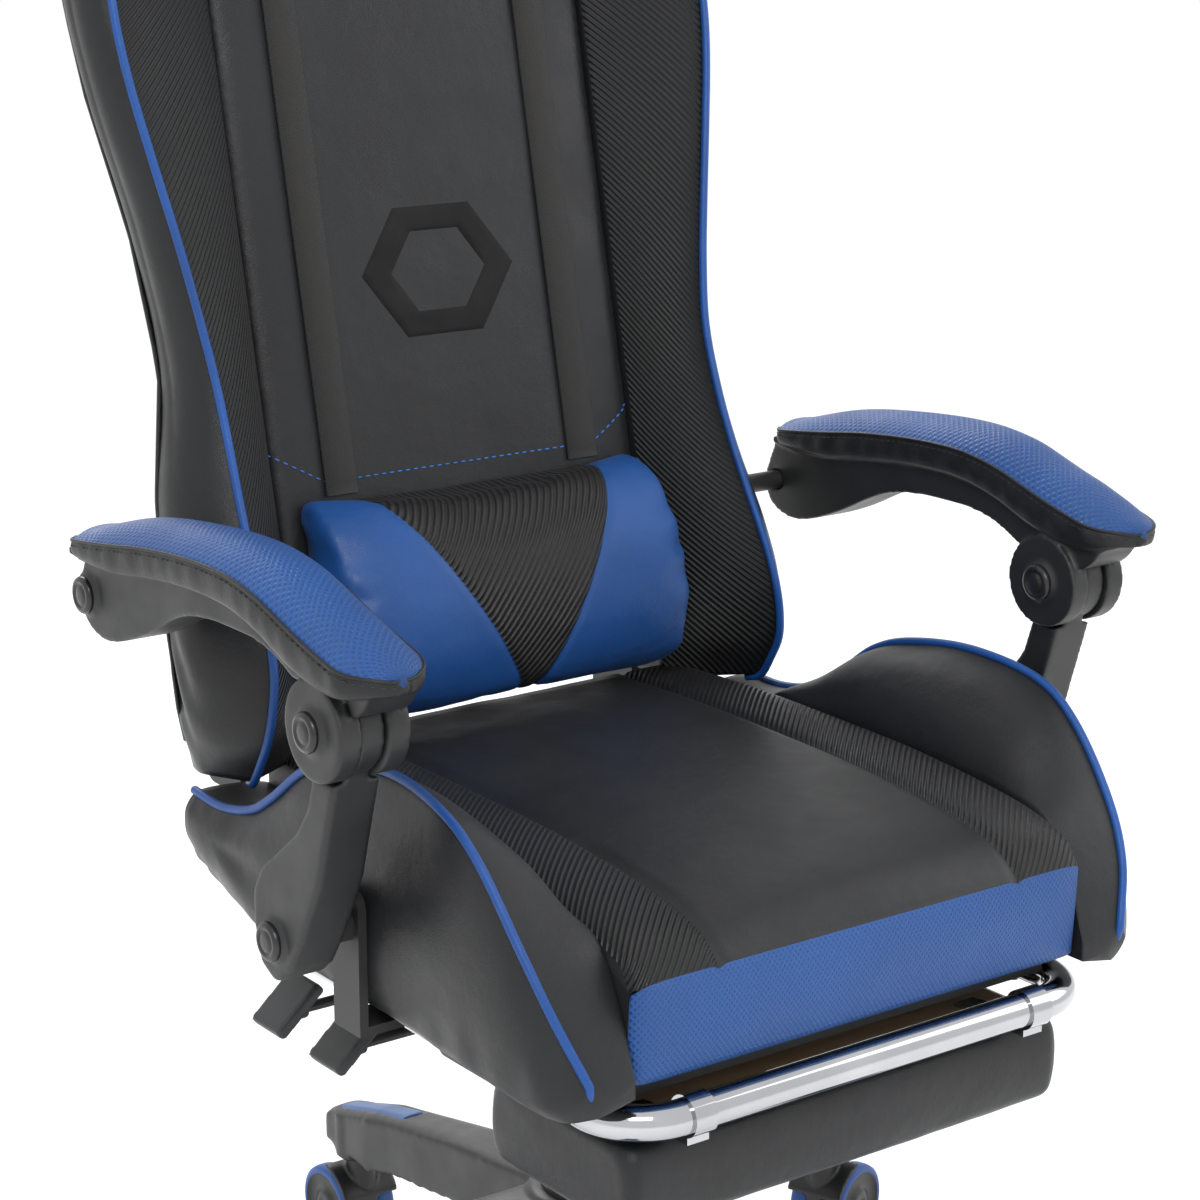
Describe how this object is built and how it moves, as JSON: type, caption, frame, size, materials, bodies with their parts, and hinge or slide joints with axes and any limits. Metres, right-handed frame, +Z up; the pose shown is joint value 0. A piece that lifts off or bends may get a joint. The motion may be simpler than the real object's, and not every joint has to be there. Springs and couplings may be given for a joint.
{
  "type": "gaming chair",
  "caption": "Racing-style gaming chair with bolstered seat, reclining back, lumbar and head pillows, linked armrests, gas lift and pull-out footrest.",
  "frame": {"origin": "on the floor, under the axis of the gas lift", "axes": "+Z up, -Y the way the sitter faces, +X the sitter's left"},
  "size_m": [0.6986, 0.6647, 1.236],
  "materials": {
    "black_leather": "fine pebble grain, satin",
    "ribbed_leather": "embossed diagonal ribs, satin",
    "blue_leather": "fine pebble grain, satin",
    "blue_weave": "embossed basket weave, satin",
    "black_nylon": "fine moulded texture",
    "blue_plastic": "satin",
    "wheel_plastic": "satin with a blue tread",
    "black_paint": "powder coat",
    "zinc_steel": "zinc plated",
    "chrome": "polished",
    "plywood": "raw plywood",
    "webbing": "elastic webbing"
  },
  "bodies": {
    "base": {"star_base": "black_nylon", "leg_caps": "blue_plastic", "outer_tube": "black_paint", "tube_bearings": "black_nylon", "cover_bottom": "black_nylon"},
    "cover_sleeve": {"cover_middle": "black_nylon"},
    "rod": {"piston_rod": "zinc_steel"},
    "seat": {"gas_cylinder": "black_paint", "cover_top": "black_nylon", "mechanism_plate": "black_paint", "mechanism_bolts": "zinc_steel", "mechanism_housing": "black_paint", "seat_frame": "black_paint", "seat_cushion": "black_leather", "wing_left": "black_leather", "wing_right": "black_leather", "side_brackets": "black_paint", "hinge_brackets": "black_paint", "rail_sleeves": "black_paint"},
    "knob": {"tension_knob": "black_nylon"},
    "height_control": {"height_lever": "black_paint", "height_paddle": "black_nylon"},
    "recline_control": {"recline_lever": "black_paint", "recline_paddle": "black_nylon"},
    "back": {"back_cushion": "black_leather", "head_cushion": "black_leather", "bolster_left": "ribbed_leather", "bolster_right": "ribbed_leather", "back_cover": "black_leather", "harness_bezels": "black_nylon", "back_frame": "black_paint", "back_brackets": "black_paint", "lumbar_pillow": "blue_leather", "head_pillow": "black_leather", "pillow_straps": "webbing"},
    "arm_post_left": {"post_left": "black_nylon"},
    "arm_post_right": {"post_right": "black_nylon"},
    "armrest_left": {"arm_frame_left": "black_nylon", "arm_pad_left": "blue_weave"},
    "armrest_right": {"arm_frame_right": "black_nylon", "arm_pad_right": "blue_weave"},
    "footrest_rails": {"footrest_tube": "chrome"},
    "footrest_panel": {"footrest_clamps": "black_paint", "footrest_board": "plywood", "footrest_pad": "black_leather"},
    "caster_0": {"caster_fork_0": "black_nylon"},
    "roller_0_left": {"wheel_0_left": "wheel_plastic"},
    "roller_0_right": {"wheel_0_right": "wheel_plastic"},
    "caster_1": {"caster_fork_1": "black_nylon"},
    "roller_1_left": {"wheel_1_left": "wheel_plastic"},
    "roller_1_right": {"wheel_1_right": "wheel_plastic"},
    "caster_2": {"caster_fork_2": "black_nylon"},
    "roller_2_left": {"wheel_2_left": "wheel_plastic"},
    "roller_2_right": {"wheel_2_right": "wheel_plastic"},
    "caster_3": {"caster_fork_3": "black_nylon"},
    "roller_3_left": {"wheel_3_left": "wheel_plastic"},
    "roller_3_right": {"wheel_3_right": "wheel_plastic"},
    "caster_4": {"caster_fork_4": "black_nylon"},
    "roller_4_left": {"wheel_4_left": "wheel_plastic"},
    "roller_4_right": {"wheel_4_right": "wheel_plastic"}
  },
  "joints": [
    {"name": "seat_swivel", "type": "hinge", "parent": "base", "child": "rod", "pos_m": [0, 0, 0.104], "axis": [0, 0, 1], "continuous": true},
    {"name": "seat_lift", "type": "slide", "parent": "rod", "child": "seat", "axis": [0, 0, 1], "range_m": [0, 0.08]},
    {"name": "cover_slide", "type": "slide", "parent": "base", "child": "cover_sleeve", "axis": [0, 0, 1], "range_m": [0, 0.04]},
    {"name": "tension_turn", "type": "hinge", "parent": "seat", "child": "knob", "pos_m": [0, -0.07, 0.31], "axis": [0, 0, 1], "range_deg": [-360, 360]},
    {"name": "height_pull", "type": "hinge", "parent": "seat", "child": "height_control", "pos_m": [-0.0535, -0.03, 0.341], "axis": [0, 1, 0], "range_deg": [0, 3], "stiffness_Nm_per_rad": 4, "springref_deg": -8.59},
    {"name": "recline_pull", "type": "hinge", "parent": "seat", "child": "recline_control", "pos_m": [-0.0535, 0.042, 0.341], "axis": [0, 1, 0], "range_deg": [0, 3], "stiffness_Nm_per_rad": 4, "springref_deg": -8.59},
    {"name": "back_recline", "type": "hinge", "parent": "seat", "child": "back", "pos_m": [0, 0.195, 0.47], "axis": [-1, 0, 0], "range_deg": [0, 60]},
    {"name": "footrest_pull", "type": "slide", "parent": "seat", "child": "footrest_rails", "axis": [0, -1, 0], "range_m": [0, 0.25]},
    {"name": "footrest_flip", "type": "hinge", "parent": "footrest_rails", "child": "footrest_panel", "pos_m": [0, -0.284, 0.368], "axis": [-1, 0, 0], "range_deg": [0, 180]},
    {"name": "post_left_tilt", "type": "hinge", "parent": "seat", "child": "arm_post_left", "pos_m": [0.284, -0.09, 0.452], "axis": [-1, 0, 0], "range_deg": [0, 60]},
    {"name": "armrest_left_level", "type": "hinge", "parent": "arm_post_left", "child": "armrest_left", "pos_m": [0.284, -0.153, 0.599], "axis": [-1, 0, 0], "range_deg": [-60, 0]},
    {"name": "post_right_tilt", "type": "hinge", "parent": "seat", "child": "arm_post_right", "pos_m": [-0.284, -0.09, 0.452], "axis": [-1, 0, 0], "range_deg": [0, 60]},
    {"name": "armrest_right_level", "type": "hinge", "parent": "arm_post_right", "child": "armrest_right", "pos_m": [-0.284, -0.153, 0.599], "axis": [-1, 0, 0], "range_deg": [-60, 0]},
    {"name": "caster_0_swivel", "type": "hinge", "parent": "base", "child": "caster_0", "pos_m": [0, 0.308, 0.08], "axis": [0, 0, 1], "continuous": true},
    {"name": "wheel_0_left_roll", "type": "hinge", "parent": "caster_0", "child": "roller_0_left", "pos_m": [0, 0.328, 0.0325], "axis": [1, 0, 0], "continuous": true},
    {"name": "wheel_0_right_roll", "type": "hinge", "parent": "caster_0", "child": "roller_0_right", "pos_m": [0, 0.328, 0.0325], "axis": [1, 0, 0], "continuous": true},
    {"name": "caster_1_swivel", "type": "hinge", "parent": "base", "child": "caster_1", "pos_m": [-0.29292, 0.09518, 0.08], "axis": [0, 0, 1], "continuous": true},
    {"name": "wheel_1_left_roll", "type": "hinge", "parent": "caster_1", "child": "roller_1_left", "pos_m": [-0.31195, 0.10136, 0.0325], "axis": [0.309, 0.9511, 0], "continuous": true},
    {"name": "wheel_1_right_roll", "type": "hinge", "parent": "caster_1", "child": "roller_1_right", "pos_m": [-0.31195, 0.10136, 0.0325], "axis": [0.309, 0.9511, 0], "continuous": true},
    {"name": "caster_2_swivel", "type": "hinge", "parent": "base", "child": "caster_2", "pos_m": [-0.18104, -0.24918, 0.08], "axis": [0, 0, 1], "continuous": true},
    {"name": "wheel_2_left_roll", "type": "hinge", "parent": "caster_2", "child": "roller_2_left", "pos_m": [-0.19279, -0.26536, 0.0325], "axis": [-0.809, 0.5878, 0], "continuous": true},
    {"name": "wheel_2_right_roll", "type": "hinge", "parent": "caster_2", "child": "roller_2_right", "pos_m": [-0.19279, -0.26536, 0.0325], "axis": [-0.809, 0.5878, 0], "continuous": true},
    {"name": "caster_3_swivel", "type": "hinge", "parent": "base", "child": "caster_3", "pos_m": [0.18104, -0.24918, 0.08], "axis": [0, 0, 1], "continuous": true},
    {"name": "wheel_3_left_roll", "type": "hinge", "parent": "caster_3", "child": "roller_3_left", "pos_m": [0.19279, -0.26536, 0.0325], "axis": [-0.809, -0.5878, 0], "continuous": true},
    {"name": "wheel_3_right_roll", "type": "hinge", "parent": "caster_3", "child": "roller_3_right", "pos_m": [0.19279, -0.26536, 0.0325], "axis": [-0.809, -0.5878, 0], "continuous": true},
    {"name": "caster_4_swivel", "type": "hinge", "parent": "base", "child": "caster_4", "pos_m": [0.29292, 0.09518, 0.08], "axis": [0, 0, 1], "continuous": true},
    {"name": "wheel_4_left_roll", "type": "hinge", "parent": "caster_4", "child": "roller_4_left", "pos_m": [0.31195, 0.10136, 0.0325], "axis": [0.309, -0.9511, 0], "continuous": true},
    {"name": "wheel_4_right_roll", "type": "hinge", "parent": "caster_4", "child": "roller_4_right", "pos_m": [0.31195, 0.10136, 0.0325], "axis": [0.309, -0.9511, 0], "continuous": true}
  ],
  "couplings": [
    {"joint": "cover_slide", "follows": "seat_lift", "ratio": 0.5},
    {"joint": "post_left_tilt", "follows": "back_recline", "ratio": 1},
    {"joint": "armrest_left_level", "follows": "back_recline", "ratio": -1},
    {"joint": "post_right_tilt", "follows": "back_recline", "ratio": 1},
    {"joint": "armrest_right_level", "follows": "back_recline", "ratio": -1}
  ]
}
